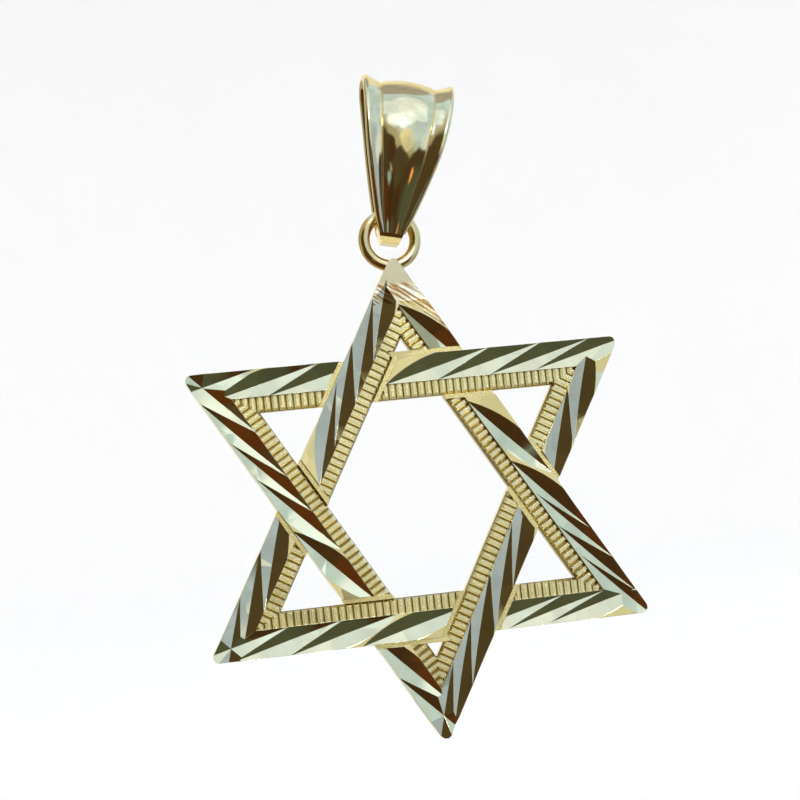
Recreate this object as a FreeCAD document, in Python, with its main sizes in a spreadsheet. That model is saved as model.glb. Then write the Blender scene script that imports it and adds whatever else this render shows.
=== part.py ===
import FreeCAD, Part
import os
from collections import namedtuple
from math import atan2, cos, radians, sin, sqrt, tan

V = FreeCAD.Vector
doc = FreeCAD.newDocument("StarPendant")

# Named sizes in millimetres and degrees
sheet = doc.addObject("Spreadsheet::Sheet", "Sizes")
sheet.Label = "sizes"
SIZES = {
    "star_side": 26.0,
    "weave_shift": 0.70,
    "bar_width": 2.50,
    "cut_band": 1.60,
    "band_overlap": 0.10,
    "bar_height": 0.95,
    "tip_radius": 0.33,
    "valley_height": 0.59,
    "wheel_radius": 15.5,
    "wheel_flank": 1.00,
    "wall_angle": 25.0,
    "valley_angle": 14.5,
    "rib_pitch": 0.43,
    "rib_floor": 0.48,
    "rib_slope": 0.12,
    "rib_crest": 0.68,
    "rib_bevel": 0.16,
    "rib_bevel_low": 0.46,
    "crossing_border": 0.27,
    "crossing_floor": 0.40,
    "crossing_rail": 0.76,
    "top_tip_height": 0.74,
    "top_tip_shelf": 0.70,
    "top_tip_shelf_run": 2.00,
    "top_tip_run": 2.90,
    "ring_height": 15.13,
    "ring_mean_radius": 1.52,
    "ring_wire_radius": 0.35,
    "ring_depth": 0.36,
    "bail_lean": 12.4,
    "bail_sheet": 0.42,
    "rim_share": 0.20,
    "rim_rise": 0.070,
    "crown_rise": 0.045,
    "foot_low": -0.31,
    "foot_step": 0.10,
    "foot_crease": 0.50,
    "foot_low_width": 1.00,
    "foot_high_width": 1.60,
    "foot_low_depth": 0.90,
    "foot_high_depth": 1.50,
    "saddle_radius": 1.09,
    "hang_reach": 8.99,
}
for row, (name, value) in enumerate(SIZES.items(), start=1):
    sheet.set("A%d" % row, name)
    sheet.set("B%d" % row, str(value))
    sheet.setAlias("B%d" % row, name)
doc.recompute()


def size(name):
    return float(sheet.get(name))


side = size("star_side")
inner_reach = side / (2.0 * sqrt(3.0))
band = size("cut_band")
width = size("bar_width")
top = size("bar_height")
half_side = side / 2.0
mitre = sqrt(3.0)

# The six bars: which triangle each belongs to, the way its outer edge faces,
# the bar that passes over it, how far the border beside that bar runs on past
# the ribs, and where the diamond cuts leave the ribbed edge
Bar = namedtuple("Bar", "name triangle facing under border_run short_cuts long_cuts")
BARS = (
    Bar("top", "down", 90, "upper_left", 0.0, (-15.0, -11.3, -8.0), (-1.2, 1.9, 5.0, 7.6)),
    Bar("right", "down", 330, "upper_right", 0.0, (-12.2, -8.6), (-2.8, -0.3, 3.2, 5.9, 8.5)),
    Bar("left", "down", 210, "base", 1.2, (-14.6, -11.2), (-4.2, -0.3, 2.2, 4.7, 8.0)),
    Bar("upper_left", "up", 150, "left", 0.0, (-15.0, -12.3, -9.0), (-1.2, 0.8, 4.0, 6.5)),
    Bar("upper_right", "up", 30, "top", 1.2, (-10.3,), (-3.3, 1.0, 2.9, 5.5, 7.4)),
    Bar("base", "up", 270, "right", 0.0, (-12.7, -10.4, -7.8), (-2.0, 2.1, 5.4, 8.4)),
)
BAR_BY_NAME = {bar.name: bar for bar in BARS}
# The bar that starts at the top tip, where no cut runs on from one bar to the next
PLAIN_TIP = "upper_right"


def bar_place(bar):
    shift = size("weave_shift") if bar.triangle == "down" else -size("weave_shift")
    turn = FreeCAD.Placement(V(0, shift, 0), FreeCAD.Rotation(V(0, 0, 1), bar.facing - 90))
    return turn.multiply(FreeCAD.Placement(V(0, inner_reach, 0), FreeCAD.Rotation()))


def prism(corners, low, high):
    loop = [V(x, y, low) for x, y in corners]
    return Part.Face(Part.makePolygon(loop + loop[:1])).extrude(V(0, 0, high - low))


def moved(shape, place):
    copy = shape.copy()
    copy.Placement = place.multiply(copy.Placement)
    return copy


def rounded_triangle():
    # Outline of one triangle in a bar's own frame, each tip rounded by three short facets
    radius = size("tip_radius")
    middle = V(0, -inner_reach, 0)
    outline = []
    for corner in (V(-half_side, 0, 0), V(half_side, 0, 0), V(0, -half_side * mitre, 0)):
        outwards = (corner - middle).normalize()
        centre = corner - outwards * (2.0 * radius)
        for turn in (60, 20, -20, -60):
            outline.append(centre + FreeCAD.Rotation(V(0, 0, 1), turn).multVec(outwards) * radius)
    return Part.Face(Part.makePolygon(outline + outline[:1])).extrude(V(0, 0, top))


def cutting_wheel(start):
    # V edged wheel whose valley climbs from the ribbed edge to the outer edge
    angle = radians(size("valley_angle"))
    radius = size("wheel_radius")
    flank = size("wheel_flank")
    slope = tan(radians(size("wall_angle")))
    middle = V(start + 0.5 * band / tan(angle), -0.5 * band, size("valley_height") + radius)
    axis = V(-sin(angle), cos(angle), 0)
    low_radius = radius - slope * flank
    loop = [
        middle - axis * flank,
        middle - axis * flank + V(0, 0, low_radius),
        middle + V(0, 0, radius),
        middle + axis * flank + V(0, 0, low_radius),
        middle + axis * flank,
    ]
    face = Part.Face(Part.makePolygon(loop + loop[:1]))
    return face.revolve(middle, axis, 360)


def beside(bar, turn):
    # The bar of the same triangle that meets this one: turn is 120 at its left tip, -120 at its right
    for other in BARS:
        if other.triangle == bar.triangle and (other.facing - bar.facing - turn) % 360 == 0:
            return other
    raise ValueError(bar.name)


def tip_wheel(bar, other, start):
    # A cut of the neighbouring bar that runs on across the tip
    return moved(cutting_wheel(start), bar_place(bar).inverse().multiply(bar_place(other)))


def over_middle(bar):
    # The line along the middle of the bar above, in this bar's own frame
    over = BAR_BY_NAME[bar.under]
    place = bar_place(bar).inverse().multiply(bar_place(over))
    point = place.multVec(V(0, -0.5 * width, 0))
    ahead = place.multVec(V(1, -0.5 * width, 0)) - point
    return point, ahead


def split_at(bar, level):
    point, ahead = over_middle(bar)
    return point.x + ahead.x * (level - point.y) / ahead.y


def cut_runs(bar):
    # The diamond cut band in two runs, split under the bar that passes over
    high = split_at(bar, 0.0)
    low = split_at(bar, -band)
    ends = half_side - band * mitre
    short = prism([(-half_side, 0), (high, 0), (low, -band), (-ends, -band)], 0, top)
    long = prism([(high, 0), (half_side, 0), (ends, -band), (low, -band)], 0, top)
    outline = rounded_triangle()
    left = beside(bar, 120)
    right = beside(bar, -120)
    short_wheels = [cutting_wheel(start) for start in bar.short_cuts]
    long_wheels = [cutting_wheel(start) for start in bar.long_cuts]
    if bar.name != PLAIN_TIP:
        short_wheels.append(tip_wheel(bar, left, left.long_cuts[-1]))
    if right.name != PLAIN_TIP:
        long_wheels.append(tip_wheel(bar, right, right.short_cuts[0]))
    return [short.common(outline).cut(short_wheels), long.common(outline).cut(long_wheels)]


def rib_run():
    # The ribbed band: flat crests between V grooves along the bar, pulled across the band
    pitch = size("rib_pitch")
    floor = size("rib_floor")
    slope = size("rib_slope")
    crest = size("rib_crest")
    reach = half_side - (band - size("band_overlap")) * mitre
    count = int(2.0 * reach / pitch) + 1
    start = -0.5 * count * pitch
    near = -width
    far = -band + size("band_overlap")
    profile = [V(start, near, 0)]
    for step in range(count):
        foot = start + step * pitch
        profile.append(V(foot, near, floor))
        profile.append(V(foot + slope, near, crest))
        profile.append(V(foot + pitch - slope, near, crest))
    profile.append(V(start + count * pitch, near, floor))
    profile.append(V(start + count * pitch, near, 0))
    ribs = Part.Face(Part.makePolygon(profile + profile[:1])).extrude(V(0, far - near, 0))
    low_end = half_side - width * mitre
    high_end = half_side + far * mitre
    outline = [(-low_end, near), (low_end, near), (high_end, far), (-high_end, far)]
    ribs = ribs.common(prism(outline, 0, top))
    bevel = [
        V(-half_side, near, size("rib_bevel_low")),
        V(-half_side, near, top),
        V(-half_side, near + size("rib_bevel"), top),
        V(-half_side, near + size("rib_bevel"), crest),
    ]
    edge = Part.Face(Part.makePolygon(bevel + bevel[:1])).extrude(V(side, 0, 0))
    return ribs.cut(edge)


def crossing_strip(bar, near, far, low, high):
    # Slab that follows the bar above, in the star's plan
    slab = prism([(-half_side, near), (half_side, near), (half_side, far), (-half_side, far)], low, high)
    return moved(slab, bar_place(BAR_BY_NAME[bar.under]))


def crossing_notch(bar):
    # Room in the lower bar for the bar above and a border on each side of it
    border = size("crossing_border")
    return crossing_strip(bar, -width - border, border, size("crossing_floor"), top + 1.0)


def crossing_rails(bar):
    # Plain raised borders across the lower bar, beside the bar above
    border = size("crossing_border")
    rail = size("crossing_rail")
    strips = []
    for near, far, run in ((-size("band_overlap"), border, bar.border_run), (-width - border, -width, 0.0)):
        reach = width + run
        outline = [(-half_side, 0), (half_side, 0), (half_side, -reach), (-half_side, -reach)]
        lower_bar = moved(prism(outline, 0, top), bar_place(bar))
        strips.append(crossing_strip(bar, near, far, 0, rail).common(lower_bar))
    return strips


def top_tip_facet():
    # The top tip is left low and flat above the ring, with a short slope up to the cuts
    tip = 2.0 * inner_reach - size("weave_shift")
    profile = [
        V(-width, tip - size("top_tip_run"), top),
        V(-width, tip - size("top_tip_shelf_run"), size("top_tip_shelf")),
        V(-width, tip, size("top_tip_height")),
        V(-width, tip, top + 1.0),
        V(-width, tip - size("top_tip_run"), top + 1.0),
    ]
    return Part.Face(Part.makePolygon(profile + profile[:1])).extrude(V(2.0 * width, 0, 0))


pieces = []
tip_facet = top_tip_facet()
ribs = rib_run()
for bar in BARS:
    place = bar_place(bar)
    notch = crossing_notch(bar)
    for run in cut_runs(bar):
        pieces.append(moved(run, place).cut([notch, tip_facet]))
    pieces.append(moved(ribs, place).cut(notch))
    pieces.extend(crossing_rails(bar))
woven = pieces[0].fuse(pieces[1:])

# The star lies back down in its own plan; it is stood up with its face to -Y
upright = FreeCAD.Rotation(V(1, 0, 0), 90)
to_star = FreeCAD.Placement(V(0, size("ring_depth"), 0), upright)
star_frame = doc.addObject("Part::Feature", "StarFrame")
star_frame.Label = "star_frame"
star_frame.Shape = woven
star_frame.Placement = to_star

# Hanging ring soldered behind the top tip
ring = doc.addObject("Part::Torus", "Ring")
ring.Label = "ring"
ring.setExpression("Radius1", "Sizes.ring_mean_radius * 1 mm")
ring.setExpression("Radius2", "Sizes.ring_wire_radius * 1 mm")
ring.Placement = FreeCAD.Placement(V(0, 0, size("ring_height")), upright)
ring.setExpression("Placement.Base.z", "Sizes.ring_height * 1 mm")

star = doc.addObject("Part::MultiFuse", "Star")
star.Label = "star"
star.Shapes = [star_frame, ring]
star.Refine = False
star.Placement = FreeCAD.Placement(V(0, 0, 0), FreeCAD.Rotation())
SIDEWAYS = "-Sizes.hang_reach * sin(Sizes.bail_lean * 1 deg) * 1 mm"
UPWARDS = "-Sizes.hang_reach * cos(Sizes.bail_lean * 1 deg) * 1 mm"
star.setExpression("Placement.Base.x", SIDEWAYS)
star.setExpression("Placement.Base.z", UPWARDS + " - Sizes.ring_height * 1 mm")

# Bail: a lozenge of sheet bent into a loop, from the front foot over the top
# to the back foot; heights are from the middle of the ring
Station = namedtuple("Station", "depth height width")
LOOP = (
    Station(-0.62, 0.30, 1.55),
    Station(-0.96, 1.40, 2.38),
    Station(-1.58, 3.10, 3.42),
    Station(-2.05, 4.90, 4.40),
    Station(-2.10, 6.60, 5.02),
    Station(-1.62, 8.05, 5.36),
    Station(-0.55, 9.02, 5.50),
    Station(0.50, 8.62, 5.30),
    Station(0.92, 7.30, 4.60),
    Station(0.95, 5.20, 3.75),
    Station(0.92, 3.20, 2.90),
    Station(0.82, 1.40, 2.05),
    Station(0.62, 0.30, 1.50),
)


def arc(start, middle, end):
    return Part.Arc(start, middle, end).toShape()


def strip_section(middle, outward, wide):
    # Cross-section of the strip: an arched crown between two creases, and flared rims
    half_sheet = 0.5 * size("bail_sheet")
    half_wide = 0.5 * wide
    crease = half_wide - size("rim_share") * wide
    rise = size("rim_rise") * wide
    crown = size("crown_rise") * wide
    tilt = atan2(rise, half_wide - crease)
    slip = half_sheet * tan(0.5 * tilt)
    sides = []
    for face in (1, -1):
        lift = face * half_sheet
        turn = face * slip
        rim_side = half_wide - lift * sin(tilt)
        rim_up = rise + lift * cos(tilt)
        sides.append([
            middle + V(-rim_side, 0, 0) + outward * rim_up,
            middle + V(-crease + turn, 0, 0) + outward * lift,
            middle + outward * (crown + lift),
            middle + V(crease - turn, 0, 0) + outward * lift,
            middle + V(rim_side, 0, 0) + outward * rim_up,
        ])
    outer, inner = sides
    edges = [
        Part.makeLine(outer[0], outer[1]),
        arc(outer[1], outer[2], outer[3]),
        Part.makeLine(outer[3], outer[4]),
        Part.makeLine(outer[4], inner[4]),
        Part.makeLine(inner[4], inner[3]),
        arc(inner[3], inner[2], inner[1]),
        Part.makeLine(inner[1], inner[0]),
        Part.makeLine(inner[0], outer[0]),
    ]
    return Part.Wire(edges)


path = Part.BSplineCurve()
path.interpolate([V(0, place.depth, place.height) for place in LOOP])
sections = []
for place in LOOP:
    point = V(0, place.depth, place.height)
    along = V(*path.tangent(path.parameter(point))[0])
    outward = V(0, -along.z, along.y)
    sections.append(strip_section(point, outward, place.width))
loop_sheet = Part.makeLoft(sections, True, False)

# Foot of the loop, closed under the ring's wire
low = size("foot_low")
crease = size("foot_crease")
high = size("saddle_radius")
low_half = 0.5 * size("foot_low_width")
high_half = 0.5 * size("foot_high_width")
low_deep = 0.5 * size("foot_low_depth")
high_deep = 0.5 * size("foot_high_depth")
front = [
    V(-low_half, -high_deep, low),
    V(low_half, -high_deep, low),
    V(high_half, -high_deep, crease),
    V(high_half, -high_deep, high),
    V(-high_half, -high_deep, high),
    V(-high_half, -high_deep, crease),
]
flank = [
    V(-high_half, -low_deep, low),
    V(-high_half, low_deep, low),
    V(-high_half, low_deep, size("foot_step")),
    V(-high_half, high_deep, crease),
    V(-high_half, high_deep, high),
    V(-high_half, -high_deep, high),
    V(-high_half, -high_deep, crease),
    V(-high_half, -low_deep, size("foot_step")),
]
foot = Part.Face(Part.makePolygon(front + front[:1])).extrude(V(0, 2.0 * high_deep, 0))
foot = foot.common(Part.Face(Part.makePolygon(flank + flank[:1])).extrude(V(2.0 * high_half, 0, 0)))
foot = foot.common(Part.makeCylinder(high, 2.0 * high_deep, V(0, -high_deep, 0), V(0, 1, 0)))
bail_shape = loop_sheet.fuse(foot)

bail = doc.addObject("Part::Feature", "Bail")
bail.Label = "bail"
bail.Shape = bail_shape
bail.Placement = FreeCAD.Placement(V(0, 0, 0), FreeCAD.Rotation(V(0, 1, 0), size("bail_lean")))
bail.setExpression("Placement.Base.x", SIDEWAYS)
bail.setExpression("Placement.Base.z", UPWARDS)

doc.recompute()
os.makedirs("parts", exist_ok=True)
for item in (star, bail):
    if "Invalid" in item.State or "Error" in item.State:
        raise RuntimeError("%s did not recompute" % item.Label)
    if item.Shape.isNull() or not item.Shape.isValid() or len(item.Shape.Solids) != 1:
        raise RuntimeError("%s is not one valid solid" % item.Label)
    item.Shape.exportStep("parts/%s.step" % item.Label)
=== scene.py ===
from collections import namedtuple
from math import atan2, cos, pi, radians, sin, sqrt

import bmesh
import bpy
import numpy as np
from bpy.props import FloatProperty, FloatVectorProperty, IntProperty, PointerProperty
from mathutils import Euler, Matrix, Vector


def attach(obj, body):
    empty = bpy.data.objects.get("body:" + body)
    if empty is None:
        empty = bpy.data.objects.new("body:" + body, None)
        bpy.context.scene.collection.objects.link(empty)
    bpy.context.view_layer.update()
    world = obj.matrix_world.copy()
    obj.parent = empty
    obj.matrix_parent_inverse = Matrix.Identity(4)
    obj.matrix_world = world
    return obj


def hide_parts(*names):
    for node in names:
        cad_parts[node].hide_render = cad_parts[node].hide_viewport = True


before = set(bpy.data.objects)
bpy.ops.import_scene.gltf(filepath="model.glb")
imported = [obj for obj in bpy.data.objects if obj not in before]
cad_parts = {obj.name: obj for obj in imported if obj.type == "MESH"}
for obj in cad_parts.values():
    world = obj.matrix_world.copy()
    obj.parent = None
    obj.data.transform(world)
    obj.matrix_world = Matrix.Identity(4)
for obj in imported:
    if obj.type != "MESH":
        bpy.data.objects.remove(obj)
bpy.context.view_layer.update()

bl_info = {
    "name": "Interlaced Star Pendant",
    "version": (1, 0, 0),
    "blender": (4, 5, 0),
    "location": "3D View > Sidebar > Pendant",
    "description": "Dresses the packed star pendant: cut gold, a folded bail and a pale studio",
    "category": "Object",
}

MM = 0.001

# Layout of the star in millimetres, as the solid model has it
STAR_SIDE = 26.0
WEAVE_SHIFT = 0.70
BAR_WIDTH = 2.50
BAR_HEIGHT = 0.95
CUT_BAND = 1.60
BAND_OVERLAP = 0.10
RIB_CREST = 0.68
CROSSING_BORDER = 0.27
CROSSING_RAIL = 0.76
RING_HEIGHT = 15.13
RING_MEAN_RADIUS = 1.52
RING_WIRE_RADIUS = 0.35
RING_DEPTH = 0.36
TOP_TIP_RUN = 2.90
TIP_PALE_RUN = 1.90
TIP_SIDE_START = -7.0
BAIL_LEAN = radians(12.4)
HANG_REACH = 8.99
MITRE = sqrt(3.0)

RING_CENTRE = Vector((-HANG_REACH * sin(BAIL_LEAN), 0.0, -HANG_REACH * cos(BAIL_LEAN)))
STAR_CENTRE = RING_CENTRE - Vector((0.0, 0.0, RING_HEIGHT))

# Each bar of the star: its triangle, the way its outer edge faces and the bar that passes over it
Bar = namedtuple("Bar", "name triangle facing under")
BARS = (
    Bar("top", "down", 90, "upper_left"),
    Bar("right", "down", 330, "upper_right"),
    Bar("left", "down", 210, "base"),
    Bar("upper_left", "up", 150, "left"),
    Bar("upper_right", "up", 30, "top"),
    Bar("base", "up", 270, "right"),
)
BAR_BY_NAME = {bar.name: bar for bar in BARS}

# Finishes of the star, in the order of its material slots; the last is a darker gold, painted shade
# on slopes beside the tip
FACET, RIB, BORDER, TIP, RING, BACK, SHADED_SLOPE = range(7)

# Parts of a face's normal that tell the finishes apart: towards the front or back, and the last one
# to the right, where the slopes beside the tip get painted shade
FLAT = 0.99
NEARLY_FLAT = 0.9
SLOPED = 0.5
WALL_LEAN = 0.2
SHADED_SLOPE_LEAN = 0.15

# Distances in metres under which corners of the solid are joined and slivers taken out
JOINED_CORNERS = 2e-7
SLIVER_LENGTH = 1e-7

# Middle line of the bail's sheet, front foot to back foot, from the middle of the ring
Station = namedtuple("Station", "depth height width")
LOOP = (
    Station(-0.62, 0.30, 1.55),
    Station(-0.96, 1.40, 2.38),
    Station(-1.58, 3.10, 3.42),
    Station(-2.05, 4.90, 4.40),
    Station(-2.10, 6.60, 5.02),
    Station(-1.62, 8.05, 5.36),
    Station(-0.55, 9.00, 5.50),
    Station(0.50, 8.62, 5.30),
    Station(0.92, 7.30, 4.60),
    Station(0.95, 5.20, 3.75),
    Station(0.92, 3.20, 2.90),
    Station(0.82, 1.40, 2.05),
    Station(0.62, 0.30, 1.50),
)

# Foot of the bail: half width and half depth at each height, under a round saddle
Level = namedtuple("Level", "height half_width half_depth")
FOOT = (
    Level(-0.31, 0.50, 0.45),
    Level(0.10, 0.66, 0.45),
    Level(0.50, 0.80, 0.75),
    Level(0.70, 0.80, 0.75),
)
SADDLE_RADIUS = 1.09
SADDLE_STEPS = 16
SADDLE_TRIM = 0.004

# Cross-section of the bail's sheet: steps over each part, the bend of the rims and the fine
# line pressed along each crease
CROWN_STEPS = 25
RIM_STEPS = 7
RIM_STRAIGHT_PART = 0.55
RIM_BENT_PART = 0.45
CREASE_HALF = 0.045
CREASE_DEPTH = 0.07
ROLL_STEPS = 15

# Edges that bend by more than these angles are shaded hard, or rounded off
HARD_EDGE = radians(13)
ROUNDED_EDGE = radians(24)
ROUNDING_SEGMENTS = 2

# Scales of the gold's textures, per metre, with the turn of the hairlines and the streaks
CLOUD_SCALE = 420.0
PIT_SCALE = 9000.0
CUT_CELL_SCALE = 620.0
HAIRLINES = (
    (radians(28), (900.0, 900.0, 26000.0)),
    (radians(-47), (700.0, 700.0, 19000.0)),
)
STREAK_SCALE = (520.0, 900.0, 9000.0)
STREAK_TURN = radians(-38)

# Noise values over which each of these goes from none to full
CLOUD_RANGE = (0.35, 0.70)
LINE_RANGE = (0.10, 0.42)
PIT_RANGE = (0.3, 0.7)
# Noise ranges of the top tip's brown streaks and of its painted highlight streaks
DARK_STREAK_RANGE = (0.44, 0.50)
HIGHLIGHT_STREAK_RANGE = (0.56, 0.60)
# Least share of the painted shade and grime in the rib grooves, where the pit noise is low
LEAST_SHADE_AND_GRIME = 0.6

# Lengths in millimetres: wave and softness of the top tip's pale end, width of the softened
# edges and depth of the scratches
PALE_END_WAVE = 0.5
PALE_END_SOFTNESS = 0.10
SOFT_EDGE = 0.03
SCRATCH_DEPTH = 0.01


class PendantSizes(bpy.types.PropertyGroup):
    sheet: FloatProperty(
        name="Bail sheet",
        description="Thickness of the metal the bail is folded from",
        default=0.00042,
        min=0.0001,
        unit="LENGTH",
        precision=5,
    )
    rim_share: FloatProperty(
        name="Rim share",
        description="Part of the bail's width that each flared rim takes",
        default=0.20,
        min=0.05,
        max=0.4,
        subtype="FACTOR",
    )
    rim_rise: FloatProperty(
        name="Rim rise",
        description="Height of the rims, as a share of the bail's width",
        default=0.070,
        min=0.0,
        max=0.3,
        subtype="FACTOR",
    )
    crown_rise: FloatProperty(
        name="Crown rise",
        description="Height of the bail's arched middle, as a share of its width",
        default=0.045,
        min=0.0,
        max=0.3,
        subtype="FACTOR",
    )
    edge_round: FloatProperty(
        name="Edge rounding",
        description="Radius that polishing leaves on the bail's edges",
        default=0.00004,
        min=0.0,
        unit="LENGTH",
        precision=5,
    )
    bail_steps: IntProperty(
        name="Bail steps",
        description="Number of sections along the bail's loop",
        default=150,
        min=30,
        max=400,
    )
    floor_drop: FloatProperty(
        name="Floor drop",
        description="Height of the floor below the hanging point",
        default=0.0465,
        min=0.039,
        unit="LENGTH",
    )


class PendantColours(bpy.types.PropertyGroup):
    facet_gold: FloatVectorProperty(
        name="Cut gold",
        description="Colour of the mirror cut facets",
        subtype="COLOR",
        default=(0.95, 0.80, 0.42),
        min=0.0,
        max=1.0,
    )
    rib_gold: FloatVectorProperty(
        name="Ribbed gold",
        description="Colour of the ribbed inner band",
        subtype="COLOR",
        default=(1.0, 0.86, 0.48),
        min=0.0,
        max=1.0,
    )
    border_gold: FloatVectorProperty(
        name="Border gold",
        description="Colour of the plain borders beside the crossings",
        subtype="COLOR",
        default=(1.0, 0.80, 0.34),
        min=0.0,
        max=1.0,
    )
    ring_gold: FloatVectorProperty(
        name="Ring gold",
        description="Colour of the soldered ring and the bail's foot",
        subtype="COLOR",
        default=(0.96, 0.73, 0.32),
        min=0.0,
        max=1.0,
    )
    bail_gold: FloatVectorProperty(
        name="Bail gold",
        description="Colour of the folded bail",
        subtype="COLOR",
        default=(0.96, 0.78, 0.40),
        min=0.0,
        max=1.0,
    )
    # Colour of the painted shade and grime at the floor of the rib grooves
    groove_shade_and_grime: FloatVectorProperty(
        name="Groove grime",
        description="Colour of the polish left in the grooves",
        subtype="COLOR",
        default=(0.08, 0.05, 0.02),
        min=0.0,
        max=1.0,
    )
    floor_grey: FloatVectorProperty(
        name="Floor",
        description="Colour of the studio floor",
        subtype="COLOR",
        default=(0.90, 0.90, 0.90),
        min=0.0,
        max=1.0,
    )


class Recipe:
    """A material's node tree, written as a chain of calls."""

    def __init__(self, tree):
        self.tree = tree
        tree.nodes.clear()

    def node(self, kind, inputs=None, **settings):
        made = self.tree.nodes.new(kind)
        for name, value in settings.items():
            setattr(made, name, value)
        for key, value in (inputs or {}).items():
            if isinstance(value, bpy.types.NodeSocket):
                self.tree.links.new(value, made.inputs[key])
            else:
                made.inputs[key].default_value = value
        return made

    def scaled(self, value, low, high, to_low, to_high):
        made = self.node(
            "ShaderNodeMapRange",
            {
                "Value": value,
                "From Min": low,
                "From Max": high,
                "To Min": to_low,
                "To Max": to_high,
            },
        )
        return made.outputs["Result"]

    def mixed(self, factor, first, second, blend="MIX"):
        made = self.node("ShaderNodeMix", data_type="RGBA", blend_type=blend)
        for key, value in ((0, factor), (6, first), (7, second)):
            if isinstance(value, bpy.types.NodeSocket):
                self.tree.links.new(value, made.inputs[key])
            else:
                made.inputs[key].default_value = value
        return made.outputs[2]

    def noise(self, point, scale, detail=3.0, rough=0.5):
        made = self.node(
            "ShaderNodeTexNoise",
            {"Vector": point, "Scale": scale, "Detail": detail, "Roughness": rough},
        )
        return made.outputs["Fac"]

    def stretched(self, point, turn, scale):
        turned = self.node(
            "ShaderNodeVectorRotate", {"Vector": point, "Angle": turn}, rotation_type="Y_AXIS"
        ).outputs["Vector"]
        return self.vector("MULTIPLY", turned, scale)

    def vector(self, operation, first, second=None):
        """A vector sum, product or length change; SCALE takes a number as its second."""
        inputs = {0: first}
        if second is not None:
            inputs["Scale" if operation == "SCALE" else 1] = second
        return self.node("ShaderNodeVectorMath", inputs, operation=operation).outputs[0]

    def maths(self, operation, first, second):
        return self.node("ShaderNodeMath", {0: first, 1: second}, operation=operation).outputs[0]

    def part_of(self, point, axis):
        return self.node("ShaderNodeSeparateXYZ", {0: point}).outputs[axis]


Finish = namedtuple("Finish", "colour shade rough spread scratch tilt")
# Painted shade and grime in the rib grooves: its colour, and the depths of crest and floor it grows
# between
Groove = namedtuple("Groove", "colour crest floor")
# Top tip: height of its pale end, the pale colour, the brown streaks' colour and the painted
# highlight streaks' colour
Streaks = namedtuple("Streaks", "top pale dark light")


def darker(colour, share):
    return tuple(channel * share for channel in colour)


def streaked_tone(make, place, cloud, tone, streaks):
    """Pale top, and below it brown streaks and pale painted highlight streaks over the gold."""
    height = make.part_of(place, "Z")
    wave = PALE_END_WAVE * MM
    wavy = make.maths("ADD", height, make.scaled(cloud, 0.0, 1.0, -wave, wave))
    soft = PALE_END_SOFTNESS * MM
    upper = make.scaled(wavy, streaks.top - soft, streaks.top + soft, 0.0, 1.0)
    band = make.noise(make.stretched(place, STREAK_TURN, STREAK_SCALE), 1.0, 3.0, 0.55)
    dark_share = make.scaled(band, *DARK_STREAK_RANGE, 0.0, 1.0)
    # The pale streaks are painted highlights
    highlight_share = make.scaled(band, *HIGHLIGHT_STREAK_RANGE, 0.0, 1.0)
    streaked = make.mixed(dark_share, (*streaks.dark, 1), tone)
    streaked = make.mixed(highlight_share, streaked, (*streaks.light, 1))
    return make.mixed(upper, streaked, (*streaks.pale, 1))


def groove_shaded_tone(make, place, pits, tone, groove):
    """Painted shade between the ribs, also standing for old polish: darkest at the floor of the
    grooves and patchy.
    """
    depth = make.part_of(place, "Y")
    # Painted shade and grime, from none at the crest's depth to full at the groove floor
    shade_and_grime = make.scaled(depth, -groove.crest * MM, -groove.floor * MM, 0.0, 1.0)
    patchy = make.maths("MULTIPLY", shade_and_grime, make.scaled(pits, *PIT_RANGE, LEAST_SHADE_AND_GRIME, 1.0))
    return make.mixed(patchy, tone, (*groove.colour, 1))


def uneven_cut(make, place, tilt):
    """Softened normal, with each stretch of a hand cut turned a little its own way."""
    cells = make.node("ShaderNodeTexVoronoi", {"Vector": place, "Scale": CUT_CELL_SCALE})
    turned = make.vector("SUBTRACT", cells.outputs["Color"], (0.5, 0.5, 0.5))
    turned = make.vector("SCALE", turned, tilt)
    rounded = make.node("ShaderNodeBevel", {"Radius": SOFT_EDGE * MM}, samples=4)
    uneven = make.vector("ADD", rounded.outputs[0], turned)
    return make.vector("NORMALIZE", uneven)


def gold(name, finish, groove=None, streaks=None):
    """Polished gold with slow tone changes, hairlines and pits, and uneven cuts."""
    material = bpy.data.materials.new(name)
    material.use_nodes = True
    make = Recipe(material.node_tree)
    place = make.node("ShaderNodeTexCoord").outputs["Object"]

    cloud = make.noise(place, CLOUD_SCALE, 2.0)
    shaded = make.scaled(cloud, *CLOUD_RANGE, 0.0, 1.0)
    tone = make.mixed(shaded, (*finish.colour, 1), (*finish.shade, 1))
    lines_a, lines_b = (
        make.noise(make.stretched(place, turn, scale), 1.0, 3.0, 0.6) for turn, scale in HAIRLINES
    )
    lines = make.maths("MULTIPLY", lines_a, lines_b)
    pits = make.noise(place, PIT_SCALE, 2.0, 0.55)
    # Brown streaks and painted highlight streaks on the top tip
    if streaks:
        tone = streaked_tone(make, place, cloud, tone, streaks)
    # Painted shade and grime in the rib grooves
    if groove:
        tone = groove_shaded_tone(make, place, pits, tone, groove)

    rough = make.scaled(lines, *LINE_RANGE, finish.rough + finish.spread, finish.rough)
    bump = make.node(
        "ShaderNodeBump",
        {
            "Height": make.maths("ADD", lines, pits),
            "Strength": finish.scratch,
            "Distance": SCRATCH_DEPTH * MM,
            "Normal": uneven_cut(make, place, finish.tilt),
        },
    )
    metal = make.node(
        "ShaderNodeBsdfPrincipled",
        {
            "Base Color": tone,
            "Roughness": rough,
            "Normal": bump.outputs["Normal"],
            "Metallic": 1.0,
        },
    )
    make.node("ShaderNodeOutputMaterial", {"Surface": metal.outputs[0]})
    return material


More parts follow.
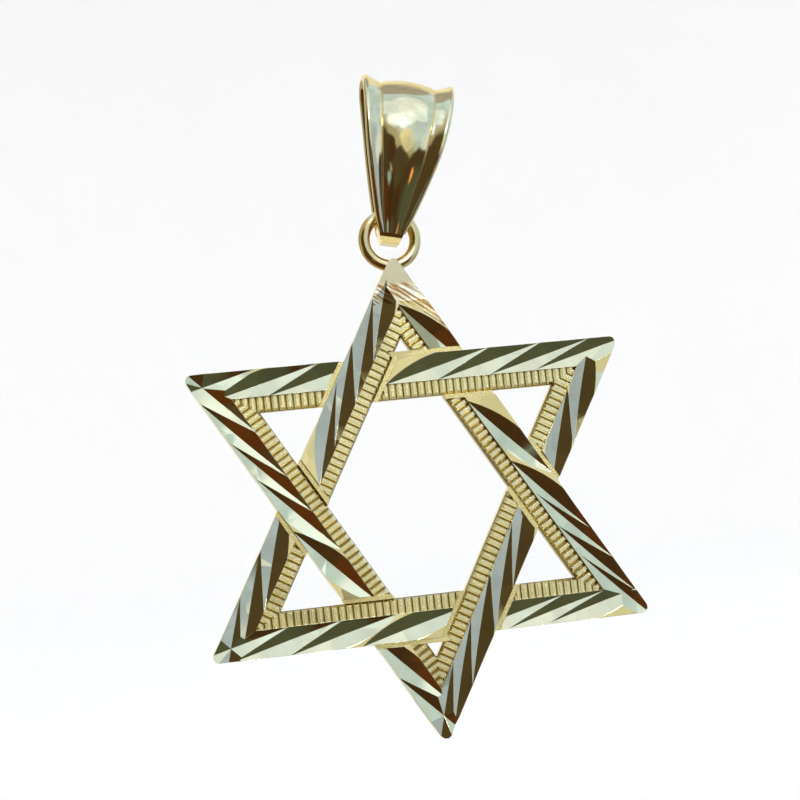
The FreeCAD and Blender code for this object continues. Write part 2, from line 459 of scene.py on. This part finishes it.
def star_finishes(colours):
    """Materials of the star, in the order of its finishes."""
    facet = tuple(colours.facet_gold)
    rib = tuple(colours.rib_gold)
    border = tuple(colours.border_gold)
    ring = tuple(colours.ring_gold)
    shade_and_grime = tuple(colours.groove_shade_and_grime)
    streak_top = (STAR_CENTRE.z + STAR_SIDE / MITRE - WEAVE_SHIFT - TIP_PALE_RUN) * MM
    # Painted shade and grime darken the rib grooves between these depths
    grooves = Groove(shade_and_grime, crest=0.175, floor=0.12)
    # Pale end of the tip, brown streaks, and pale painted highlight streaks
    streaks = Streaks(
        streak_top, pale=(0.76, 0.66, 0.42), dark=(0.46, 0.22, 0.07), light=(1.0, 0.88, 0.60)
    )
    facet_cut = Finish(
        facet, darker(facet, 0.92), rough=0.035, spread=0.05, scratch=0.05, tilt=0.08
    )
    rib_cut = Finish(rib, darker(rib, 0.94), rough=0.18, spread=0.08, scratch=0.10, tilt=0.03)
    rail = Finish(border, darker(border, 0.94), rough=0.22, spread=0.08, scratch=0.04, tilt=0.02)
    tip = Finish(facet, darker(ring, 0.90), rough=0.10, spread=0.06, scratch=0.10, tilt=0.10)
    wire = Finish(ring, darker(ring, 0.90), rough=0.08, spread=0.06, scratch=0.08, tilt=0.05)
    satin = Finish(facet, darker(facet, 0.88), rough=0.22, spread=0.12, scratch=0.20, tilt=0.0)
    # Darker copy of the ring gold: painted shade on the right-facing slopes beside the tip
    shaded_slope = Finish(
        darker(ring, 0.62), darker(ring, 0.50), rough=0.06, spread=0.06, scratch=0.06, tilt=0.08
    )
    return [
        gold("facet_gold", facet_cut),
        gold("rib_gold", rib_cut, groove=grooves),
        gold("border_gold", rail),
        gold("top_tip_gold", tip, streaks=streaks),
        gold("ring_gold", wire),
        gold("back_gold", satin),
        gold("shaded_slope_cut_gold", shaded_slope),
    ]


def bar_frame(bar, points):
    """Place of plan points along and across one bar, measured from the middle of its outer edge."""
    shift = WEAVE_SHIFT if bar.triangle == "down" else -WEAVE_SHIFT
    turn = radians(90 - bar.facing)
    across = points[:, 1] - shift
    along = points[:, 0]
    turned_along = along * cos(turn) - across * sin(turn)
    turned_across = along * sin(turn) + across * cos(turn)
    return turned_along, turned_across - STAR_SIDE / (2.0 * MITRE)


def star_regions(centres, normals):
    """Finish of each face of the star, from where it lies and which way it looks."""
    slack = 0.01
    plan = np.stack([centres[:, 0] - STAR_CENTRE.x, centres[:, 2] - STAR_CENTRE.z], axis=1)
    height = RING_DEPTH - centres[:, 1]
    backward = normals[:, 1]
    finish = np.full(len(centres), FACET)
    ribbed = np.zeros(len(centres), bool)
    bordered = np.zeros(len(centres), bool)
    for bar in BARS:
        along, across = bar_frame(bar, plan)
        over_across = bar_frame(BAR_BY_NAME[bar.under], plan)[1]
        below_border = over_across < CROSSING_BORDER + slack
        covered = below_border & (over_across > -BAR_WIDTH - CROSSING_BORDER - slack)
        on_bar = (across < slack) & (across > -BAR_WIDTH - slack)
        inner = (across > -BAR_WIDTH - slack) & (across < -CUT_BAND + BAND_OVERLAP + slack)
        within = np.abs(along) < 0.5 * STAR_SIDE + across * MITRE + slack
        ribbed |= inner & within & ~covered & (height < RIB_CREST + slack)
        outer_rail = (over_across > -BAND_OVERLAP) & below_border
        inner_rail = (over_across < -BAR_WIDTH) & covered
        bordered |= (outer_rail | inner_rail) & on_bar & (height < CROSSING_RAIL + slack)
    finish[ribbed] = RIB
    finish[ribbed & (backward > -WALL_LEAN)] = BACK
    finish[bordered] = BORDER

    bar_top = BAR_HEIGHT - slack
    tip = STAR_SIDE / MITRE - WEAVE_SHIFT
    near_tip = plan[:, 1] > tip - TOP_TIP_RUN
    finish[near_tip & (height < bar_top) & (backward < -NEARLY_FLAT)] = TIP
    along, across = bar_frame(BAR_BY_NAME["upper_right"], plan)
    beside_tip = (along < TIP_SIDE_START) & (across > -CUT_BAND) & (across < slack)
    finish[beside_tip & (height > bar_top) & (backward < -FLAT)] = TIP
    # Slopes beside the tip that face right get the darker gold as painted shade
    finish[beside_tip & (normals[:, 0] > SHADED_SLOPE_LEAN) & (backward < -SLOPED)] = SHADED_SLOPE
    finish[backward > NEARLY_FLAT] = BACK

    from_ring = centres - np.array(RING_CENTRE)
    outwards = np.hypot(from_ring[:, 0], from_ring[:, 2]) - RING_MEAN_RADIUS
    from_wire = np.hypot(outwards, from_ring[:, 1])
    finish[np.abs(from_wire - RING_WIRE_RADIUS) < 2.0 * slack] = RING
    return finish


def clean_copy(node_name):
    """Corner points and faces of a solid of the frame, with shared corners joined."""
    solid = bmesh.new()
    solid.from_mesh(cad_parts[node_name].data)
    bmesh.ops.remove_doubles(solid, verts=solid.verts, dist=JOINED_CORNERS)
    bmesh.ops.dissolve_degenerate(solid, edges=solid.edges, dist=SLIVER_LENGTH)
    solid.verts.index_update()
    points = [vert.co.copy() for vert in solid.verts]
    faces = [[vert.index for vert in face.verts] for face in solid.faces]
    solid.free()
    return points, faces


def linked(name, mesh):
    made = bpy.data.objects.new(name, mesh)
    bpy.context.scene.collection.objects.link(made)
    return made


class STARPENDANT_OT_star(bpy.types.Operator):
    """Dress the interlaced star: mirror cuts, ribbed band, plain borders, ring and plain back"""

    bl_idname = "starpendant.star"
    bl_label = "Interlaced star"

    def execute(self, context):
        points, faces = clean_copy("star")
        if not faces:
            raise RuntimeError("the star has no faces")
        mesh = bpy.data.meshes.new("interlaced_star")
        mesh.from_pydata(points, [], faces)
        for material in star_finishes(context.scene.pendant_colours):
            mesh.materials.append(material)
        centres = np.array([face.center for face in mesh.polygons]) / MM
        normals = np.array([face.normal for face in mesh.polygons])
        finish = star_regions(centres, normals)
        mesh.polygons.foreach_set("material_index", finish.astype(np.int32))
        mesh.polygons.foreach_set("use_smooth", np.ones(len(finish), bool))
        mesh.set_sharp_from_angle(angle=HARD_EDGE)
        self.soften_ring(mesh, finish)
        star = linked("interlaced_star", mesh)
        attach(star, "star")
        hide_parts("star")
        return {"FINISHED"}

    def soften_ring(self, mesh, finish):
        """Shade the round wire smooth, since it has no hard edges of its own."""
        edge_faces = {}
        for face in mesh.polygons:
            for key in face.edge_keys:
                edge_faces.setdefault(key, []).append(face.index)
        for edge in mesh.edges:
            if all(finish[index] == RING for index in edge_faces[edge.key]):
                edge.use_edge_sharp = False


def smooth_through(values, count):
    """Values of a natural cubic through evenly numbered stations, at count even steps."""
    stations = np.array(values, float)
    last = len(stations) - 1
    system = np.eye(last + 1)
    right = np.zeros_like(stations)
    for row in range(1, last):
        system[row, row - 1:row + 2] = (1.0, 4.0, 1.0)
        right[row] = 6.0 * (stations[row - 1] - 2.0 * stations[row] + stations[row + 1])
    bend = np.linalg.solve(system, right)
    steps = np.linspace(0.0, last, count)
    left = np.minimum(steps.astype(int), last - 1)
    ahead = (steps - left)[:, None]
    behind = 1.0 - ahead
    straight = behind * stations[left] + ahead * stations[left + 1]
    curved = (behind ** 3 - behind) * bend[left] + (ahead ** 3 - ahead) * bend[left + 1]
    return straight + curved / 6.0


def section_line(wide, sizes, face):
    """One face of the bail's sheet from rim to rim, as pairs of distance across and height."""
    half_sheet = 0.5 * sizes.sheet / MM
    half_wide = 0.5 * wide
    crease = half_wide - sizes.rim_share * wide
    rise = sizes.rim_rise * wide
    crown = sizes.crown_rise * wide
    tilt = atan2(rise, half_wide - crease)
    lift = face * half_sheet
    rim = (
        half_wide - lift * sin(tilt) - half_sheet * cos(tilt),
        rise + lift * cos(tilt) - half_sheet * sin(tilt),
    )
    fold = crease - lift * sin(0.5 * tilt) / cos(0.5 * tilt)
    radius = (fold * fold + crown * crown) / (2.0 * crown)
    groove = CREASE_DEPTH if face > 0 else 0.0
    across = np.linspace(-fold + CREASE_HALF, fold - CREASE_HALF, CROWN_STEPS)
    arched = np.sqrt(radius * radius - across * across) - (radius - crown) + lift
    left = []
    for share in np.linspace(1.0, 0.0, RIM_STEPS):
        climb = RIM_STRAIGHT_PART * share + RIM_BENT_PART * share * share
        start = fold + CREASE_HALF
        left.append((-start - (rim[0] - start) * share, lift + (rim[1] - lift) * climb))
    left.append((-fold, lift - groove))
    right = [(-x, z) for x, z in reversed(left)]
    return left + list(zip(across, arched)) + right


def rim_roll(first, last):
    """Half round that closes the sheet's edge, from one face's last point to the other's first."""
    middle_across = 0.5 * (first[0] + last[0])
    middle_lift = 0.5 * (first[1] + last[1])
    arm_across = first[0] - middle_across
    arm_lift = first[1] - middle_lift
    roll = []
    for step in range(1, ROLL_STEPS + 1):
        angle = pi * step / (ROLL_STEPS + 1)
        across = middle_across + arm_across * cos(angle) + arm_lift * sin(angle)
        lift = middle_lift + arm_lift * cos(angle) - arm_across * sin(angle)
        roll.append((across, lift))
    return roll


def hung(points):
    """Points of the upright bail, leaned over and moved to where it hangs, in metres."""
    lean = Matrix.Rotation(BAIL_LEAN, 3, "Y")
    return [(lean @ Vector(point) + RING_CENTRE) * MM for point in points]


def bail_strip(sizes):
    """Points and faces of the bent sheet, and which of its faces lie on the arched middle."""
    path = smooth_through([(place.depth, place.height) for place in LOOP], sizes.bail_steps)
    widths = smooth_through([(place.width,) for place in LOOP], sizes.bail_steps)[:, 0]
    along = np.gradient(path, axis=0)
    along /= np.linalg.norm(along, axis=1)[:, None]
    points = []
    faces = []
    crown_faces = []
    for (depth, height), (forward, upward), wide in zip(path, along, widths):
        outer = section_line(wide, sizes, 1)
        inner = section_line(wide, sizes, -1)
        right_roll = rim_roll(outer[-1], inner[-1])
        left_roll = rim_roll(inner[0], outer[0])
        section = outer + right_roll + inner[::-1] + left_roll
        for across, lift in section:
            points.append((across, depth - upward * lift, height + forward * lift))
    loop = len(section)
    half = len(outer)
    back = 2 * half + ROLL_STEPS - 1
    for step in range(len(path) - 1):
        first = step * loop
        after = first + loop
        for corner in range(loop):
            following = (corner + 1) % loop
            faces.append((first + corner, first + following, after + following, after + corner))
            crown_faces.append(RIM_STEPS < corner < half - RIM_STEPS - 2)
    for start in (0, loop * (len(path) - 1)):
        for corner in range(half - 1):
            opposite = start + back - corner
            faces.append((start + corner, opposite, opposite - 1, start + corner + 1))
            crown_faces.append(False)
        faces.append(tuple(range(start + half - 1, start + half + ROLL_STEPS + 1)))
        faces.append((*range(start + back, start + loop), start))
        crown_faces.extend((False, False))
    return hung(points), faces, crown_faces


def bail_foot():
    """Points and faces of the foot, from its lower end up to the round saddle."""
    levels = list(FOOT)
    shoulder = FOOT[-1]
    round_start = sqrt(SADDLE_RADIUS ** 2 - shoulder.half_width ** 2)
    round_end = SADDLE_RADIUS - SADDLE_TRIM
    for share in np.linspace(0.0, 1.0, SADDLE_STEPS):
        height = round_start + (round_end - round_start) * sin(0.5 * pi * share)
        half_width = sqrt(SADDLE_RADIUS ** 2 - height ** 2)
        levels.append(Level(height, half_width, shoulder.half_depth))
    points = []
    for level in levels:
        for x, y in ((-1, -1), (1, -1), (1, 1), (-1, 1)):
            points.append((x * level.half_width, y * level.half_depth, level.height))
    faces = [(3, 2, 1, 0)]
    top = 4 * (len(levels) - 1)
    for first in range(0, top, 4):
        after = first + 4
        for corner in range(4):
            following = (corner + 1) % 4
            faces.append((first + corner, first + following, after + following, after + corner))
    faces.append((top, top + 1, top + 2, top + 3))
    return hung(points), faces


def outward_mesh(name, points, faces):
    """A closed mesh with all its faces looking outwards."""
    mesh = bpy.data.meshes.new(name)
    mesh.from_pydata(points, [], faces)
    shell = bmesh.new()
    shell.from_mesh(mesh)
    bmesh.ops.recalc_face_normals(shell, faces=shell.faces)
    shell.to_mesh(mesh)
    shell.free()
    return mesh


def polished_edges(piece, radius):
    """Round the hard edges a little, as polishing does."""
    bevel = piece.modifiers.new("polished_edges", "BEVEL")
    bevel.width = radius
    bevel.segments = ROUNDING_SEGMENTS
    bevel.limit_method = "ANGLE"
    bevel.angle_limit = ROUNDED_EDGE


class STARPENDANT_OT_bail(bpy.types.Operator):
    """Fold the bail's sheet into its loop, with flared rims, and close its foot"""

    bl_idname = "starpendant.bail"
    bl_label = "Folded bail"

    def execute(self, context):
        sizes = context.scene.pendant_sizes
        colours = context.scene.pendant_colours
        bail = tuple(colours.bail_gold)
        ring = tuple(colours.ring_gold)
        rim = Finish(bail, darker(bail, 0.92), rough=0.06, spread=0.05, scratch=0.05, tilt=0.0)
        crown = Finish(bail, darker(bail, 0.90), rough=0.05, spread=0.05, scratch=0.05, tilt=0.0)
        end = Finish(ring, darker(ring, 0.90), rough=0.08, spread=0.06, scratch=0.06, tilt=0.02)

        points, faces, on_crown = bail_strip(sizes)
        strip_mesh = outward_mesh("bail_loop", points, faces)
        strip_mesh.materials.append(gold("bail_rim_gold", rim))
        strip_mesh.materials.append(gold("bail_crown_gold", crown))
        strip_mesh.polygons.foreach_set("material_index", np.array(on_crown, np.int32))
        foot_points, foot_faces = bail_foot()
        foot_mesh = outward_mesh("bail_foot", foot_points, foot_faces)
        foot_mesh.materials.append(gold("bail_foot_gold", end))
        for mesh in (strip_mesh, foot_mesh):
            mesh.polygons.foreach_set("use_smooth", np.ones(len(mesh.polygons), bool))
            mesh.set_sharp_from_angle(angle=HARD_EDGE)
            piece = linked(mesh.name, mesh)
            polished_edges(piece, sizes.edge_round)
            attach(piece, "bail")
            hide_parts("bail")
        return {"FINISHED"}


# Soft surroundings that the gold mirrors. Round is an angle in the star's plane, off the angle
# away from the star's front, and a card fades out between the half angles core and edge
Card = namedtuple("Card", "round off core edge colour")
SURROUNDINGS = (0.44, 0.45, 0.38)
CARDS = (
    Card(50, 78, 50, 84, (0.56, 0.80, 1.22)),
    Card(80, 100, 20, 28, (0.40, 0.42, 0.50)),
    Card(66, 50, 18, 26, (0.84, 1.05, 1.54)),
    Card(104, 51, 9, 19, (0.84, 1.10, 1.66)),
    Card(46, 46, 9, 12, (0.84, 1.12, 1.70)),
    Card(-20, 62, 18, 40, (0.40, 0.55, 0.95)),
    Card(-6, 42, 9, 12, (0.68, 0.86, 1.20)),
    Card(228, 66, 30, 46, (0.10, 0.036, 0.012)),
    Card(-90, 40, 22, 30, (0.06, 0.034, 0.016)),
    Card(-48, 38, 16, 22, (0.07, 0.05, 0.026)),
    Card(-95, 15, 12, 15, (0.08, 0.066, 0.04)),
    Card(185, 21, 10, 15, (0.07, 0.04, 0.022)),
    Card(-150, 29, 6, 10, (0.06, 0.05, 0.035)),
    Card(170, 46, 20, 34, (0.08, 0.062, 0.034)),
    Card(-58, 52, 12, 28, (0.08, 0.10, 0.08)),
    Card(20, 11, 6, 14, (0.76, 0.80, 0.74)),
    Card(100, 28, 2, 16, (1.20, 1.50, 2.25)),
    Card(-132, 30, 2, 5, (0.34, 0.56, 0.74)),
    Card(-50, 34, 1, 4, (1.3, 0.62, 0.16)),
    Card(66, 30, 8, 15, (1.00, 1.26, 1.95)),
    Card(72, 24, 2, 7, (12.0, 13.5, 17.0)),
    Card(60, 150, 25, 60, (0.95, 0.96, 0.86)),
)
CARD_SWIRL = 0.30
CARD_SOFTNESS = 0.35
SWIRL_SCALE = 2.6
PATCH_SCALE = 3.2
PATCH_RANGE = (0.32, 0.68)
PATCH_LIGHT = (0.78, 1.18)
WORLD_STRENGTH = 3.0
PLAIN_LIGHT = 1.55


def card_direction(card):
    """Unit vector towards the middle of a card."""
    turn = radians(card.round)
    off = radians(card.off)
    return sin(off) * cos(turn), -cos(off), sin(off) * sin(turn)


def card_share(make, looking, card):
    """How much of a card shows in each direction: one inside it, none outside."""
    nearness = make.node(
        "ShaderNodeVectorMath", {0: looking, 1: card_direction(card)}, operation="DOT_PRODUCT"
    ).outputs["Value"]
    middle = 0.5 * (card.core + card.edge)
    half = 0.5 * CARD_SOFTNESS * (card.edge - card.core)
    outer = cos(radians(middle + half))
    inner = cos(radians(middle - half))
    return make.scaled(nearness, outer, inner, 0.0, 1.0)


def studio_world():
    """Plain soft light, with bright and brown cards that only mirrored rays meet."""
    world = bpy.data.worlds.new("studio")
    world.use_nodes = True
    world.cycles.sampling_method = "NONE"
    make = Recipe(world.node_tree)
    looking = make.node("ShaderNodeTexCoord").outputs["Generated"]

    # The cards' outlines are made uneven, like those of real things around
    swirl = make.node(
        "ShaderNodeTexNoise",
        {"Vector": looking, "Scale": SWIRL_SCALE, "Detail": 6.0, "Roughness": 0.66},
    ).outputs["Color"]
    swirl = make.vector("SUBTRACT", swirl, (0.5, 0.5, 0.5))
    swirl = make.vector("SCALE", swirl, CARD_SWIRL)
    bent = make.vector("NORMALIZE", make.vector("ADD", looking, swirl))

    reflected = make.node("ShaderNodeRGB").outputs[0]
    reflected.default_value = (*darker(SURROUNDINGS, 1.0 / WORLD_STRENGTH), 1.0)
    for card in CARDS:
        colour = (*darker(card.colour, 1.0 / WORLD_STRENGTH), 1.0)
        reflected = make.mixed(card_share(make, bent, card), reflected, colour)
    uneven = make.noise(looking, PATCH_SCALE, 5.0, 0.68)
    patches = make.scaled(uneven, *PATCH_RANGE, *PATCH_LIGHT)
    reflected = make.mixed(1.0, reflected, patches, "MULTIPLY")
    mirrored = make.node("ShaderNodeLightPath").outputs["Is Glossy Ray"]
    plain = PLAIN_LIGHT / WORLD_STRENGTH
    light = make.mixed(mirrored, (plain, plain, plain, 1.0), reflected)
    glow = make.node("ShaderNodeBackground", {"Color": light, "Strength": WORLD_STRENGTH})
    make.node("ShaderNodeOutputWorld", {"Surface": glow.outputs[0]})
    bpy.context.scene.world = world


# Floor in metres: flat out to one radius, then turning up into a wall
FLOOR_INNER = 0.3
FLOOR_FLAT = 0.9
FLOOR_BEND = 0.6
WALL_TOP = 2.0
BEND_STEPS = 9
SPOKES = 72
PAPER_CLOUD_SCALE = 6.0
PAPER_SHADE = 0.985
PAPER_ROUGHNESS = 0.9


def studio_floor(sizes, colours):
    """Pale floor that turns up into a wall all round, far beyond the pendant."""
    profile = [(FLOOR_INNER, 0.0), (FLOOR_FLAT, 0.0)]
    for step in range(1, BEND_STEPS + 1):
        angle = 0.5 * pi * step / BEND_STEPS
        profile.append((FLOOR_FLAT + FLOOR_BEND * sin(angle), FLOOR_BEND - FLOOR_BEND * cos(angle)))
    profile.append((FLOOR_FLAT + FLOOR_BEND, WALL_TOP))
    points = []
    for radius, height in profile:
        for spoke in range(SPOKES):
            angle = 2.0 * pi * spoke / SPOKES
            points.append((radius * cos(angle), radius * sin(angle), height - sizes.floor_drop))
    faces = [tuple(range(SPOKES))]
    for first in range(0, SPOKES * (len(profile) - 1), SPOKES):
        after = first + SPOKES
        for spoke in range(SPOKES):
            following = (spoke + 1) % SPOKES
            faces.append((first + spoke, after + spoke, after + following, first + following))
    mesh = bpy.data.meshes.new("studio_floor")
    mesh.from_pydata(points, [], faces)
    mesh.polygons.foreach_set("use_smooth", np.ones(len(faces), bool))
    material = bpy.data.materials.new("floor_paper")
    material.use_nodes = True
    make = Recipe(material.node_tree)
    place = make.node("ShaderNodeTexCoord").outputs["Object"]
    pale = tuple(colours.floor_grey)
    cloud = make.noise(place, PAPER_CLOUD_SCALE)
    tone = make.mixed(cloud, (*pale, 1), (*darker(pale, PAPER_SHADE), 1))
    look = {"Base Color": tone, "Roughness": PAPER_ROUGHNESS}
    paper = make.node("ShaderNodeBsdfPrincipled", look)
    make.node("ShaderNodeOutputMaterial", {"Surface": paper.outputs[0]})
    mesh.materials.append(material)
    floor = linked("studio_floor", mesh)
    floor.visible_glossy = False
    floor.visible_shadow = False


# Camera, at the angle and distance of the photograph
CAMERA_LENS = 81.0
SENSOR_WIDTH = 36.0
NEAREST_SEEN = 0.001
CAMERA_PLACE = (-20.306, -103.006, -27.014)
CAMERA_TURN = (94.829, 6.378, -9.337)


class STARPENDANT_OT_stage(bpy.types.Operator):
    """Set the pale floor, the soft studio surroundings and the camera"""

    bl_idname = "starpendant.stage"
    bl_label = "Studio and camera"

    def execute(self, context):
        sizes = context.scene.pendant_sizes
        studio_floor(sizes, context.scene.pendant_colours)
        studio_world()
        view = bpy.data.cameras.new("camera")
        view.lens = CAMERA_LENS
        view.sensor_width = SENSOR_WIDTH
        view.clip_start = NEAREST_SEEN
        camera = linked("camera", view)
        camera.location = Vector(CAMERA_PLACE) * MM
        camera.rotation_euler = Euler([radians(angle) for angle in CAMERA_TURN], "XYZ")
        context.scene.camera = camera
        context.scene.view_settings.view_transform = "Standard"
        return {"FINISHED"}


OPERATORS = (STARPENDANT_OT_star, STARPENDANT_OT_bail, STARPENDANT_OT_stage)


class STARPENDANT_PT_sidebar(bpy.types.Panel):
    """Steps and settings of the pendant"""

    bl_label = "Star pendant"
    bl_space_type = "VIEW_3D"
    bl_region_type = "UI"
    bl_category = "Pendant"

    def draw(self, context):
        layout = self.layout
        for operator in OPERATORS:
            layout.operator(operator.bl_idname)
        for group in (context.scene.pendant_sizes, context.scene.pendant_colours):
            column = layout.column(align=True)
            for name in group.__annotations__:
                column.prop(group, name)


CLASSES = (PendantSizes, PendantColours, *OPERATORS, STARPENDANT_PT_sidebar)


def register():
    for made in CLASSES:
        bpy.utils.register_class(made)
    bpy.types.Scene.pendant_sizes = PointerProperty(type=PendantSizes)
    bpy.types.Scene.pendant_colours = PointerProperty(type=PendantColours)


def unregister():
    del bpy.types.Scene.pendant_colours
    del bpy.types.Scene.pendant_sizes
    for made in reversed(CLASSES):
        bpy.utils.unregister_class(made)


def main():
    register()
    bpy.ops.starpendant.star()
    bpy.ops.starpendant.bail()
    bpy.ops.starpendant.stage()


if __name__ == "__main__":
    main()
